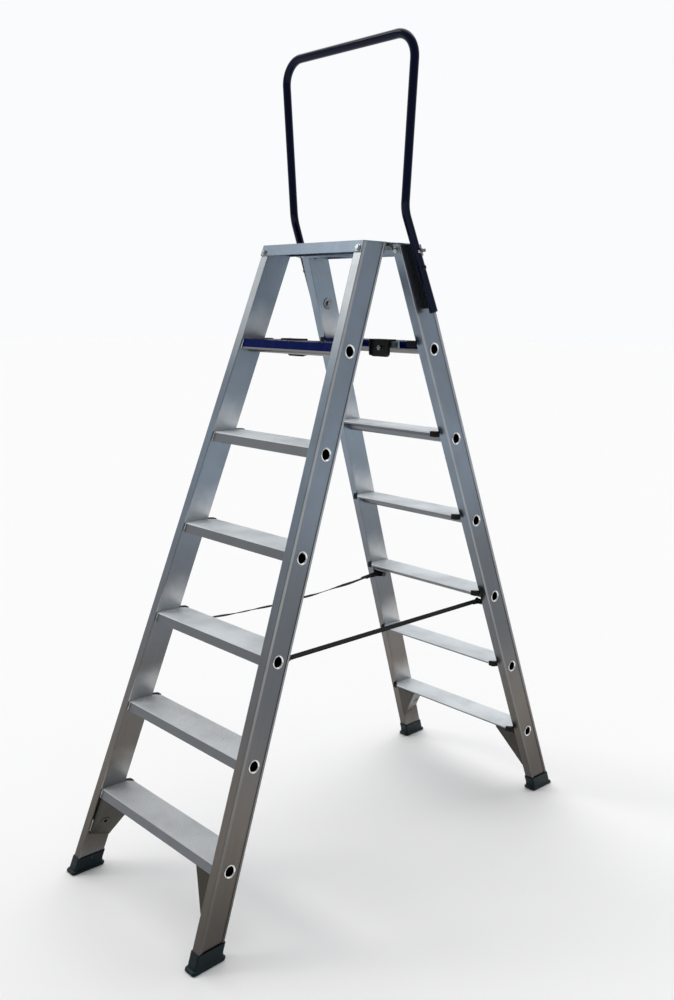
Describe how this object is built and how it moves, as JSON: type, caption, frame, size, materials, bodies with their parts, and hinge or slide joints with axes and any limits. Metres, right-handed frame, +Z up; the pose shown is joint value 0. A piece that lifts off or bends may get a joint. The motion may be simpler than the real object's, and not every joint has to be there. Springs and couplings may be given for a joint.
{
  "type": "trestle ladder",
  "caption": "Free-standing aluminium trestle ladder with wide treads on both sides, hinged at the top step, with a handrail bow, spreader straps and moulded feet.",
  "frame": {"origin": "on the floor, midway between the four feet, below the hinge axis", "axes": "+Z up, +X across the ladder along the treads, -Y towards the front climbing section"},
  "size_m": [0.588, 1.4236, 2.0985],
  "materials": {
    "mill_aluminium": "extruded, satin mill finish",
    "brace_plate": "plain rolled sheet",
    "blue_paint": "glossy dark blue coat",
    "navy_paint": "glossy blue-black powder coat",
    "black_steel": "satin black coat",
    "zinc_steel": "bright zinc plate",
    "spring_steel": "plain spring steel",
    "foot_rubber": "moulded, matte",
    "black_plastic": "moulded, matte",
    "strap_webbing": "woven polyester"
  },
  "bodies": {
    "front_section": {"front_tread_1": "mill_aluminium", "front_tread_2": "mill_aluminium", "front_tread_3": "mill_aluminium", "front_tread_4": "mill_aluminium", "front_tread_5": "mill_aluminium", "front_tread_6": "blue_paint", "front_stile_left": "mill_aluminium", "front_stile_right": "mill_aluminium", "front_top_channel": "mill_aluminium", "front_tread_plugs": "black_plastic", "front_foot_left": "foot_rubber", "front_foot_right": "foot_rubber", "front_foot_screws": "zinc_steel", "front_brace_left": "brace_plate", "front_brace_right": "brace_plate", "front_brace_rivets": "zinc_steel", "front_top_bolts": "zinc_steel", "front_hinge_leaf": "zinc_steel", "front_hinge_rivets": "zinc_steel", "front_strap_studs": "zinc_steel", "front_stop_plate": "black_steel", "front_stop_bolt": "zinc_steel", "front_spring_clip": "spring_steel", "hinge_pin": "zinc_steel", "strap_left": "strap_webbing", "strap_right": "strap_webbing"},
    "rear_section": {"rear_tread_1": "mill_aluminium", "rear_tread_2": "mill_aluminium", "rear_tread_3": "mill_aluminium", "rear_tread_4": "mill_aluminium", "rear_tread_5": "mill_aluminium", "rear_tread_6": "blue_paint", "rear_stile_left": "mill_aluminium", "rear_stile_right": "mill_aluminium", "rear_top_channel": "mill_aluminium", "rear_tread_plugs": "black_plastic", "rear_foot_left": "foot_rubber", "rear_foot_right": "foot_rubber", "rear_foot_screws": "zinc_steel", "rear_brace_left": "brace_plate", "rear_brace_right": "brace_plate", "rear_brace_rivets": "zinc_steel", "rear_top_bolts": "zinc_steel", "rear_hinge_leaf": "zinc_steel", "rear_hinge_rivets": "zinc_steel", "rear_strap_studs": "zinc_steel", "rear_stop_plate": "black_steel", "rear_stop_bolt": "zinc_steel", "rear_spring_clip": "spring_steel", "handrail_bow": "navy_paint", "bow_saddle_left": "black_steel", "bow_saddle_right": "black_steel", "bow_bolts": "zinc_steel", "bow_nuts": "zinc_steel", "bow_screws": "black_steel", "bow_end_plugs": "black_plastic"}
  },
  "joints": [
    {"name": "fold", "type": "hinge", "parent": "front_section", "child": "rear_section", "pos_m": [0, 0, 1.629], "axis": [-1, 0, 0], "range_deg": [0, 38.5], "deforming": ["strap_left", "strap_right"]}
  ]
}
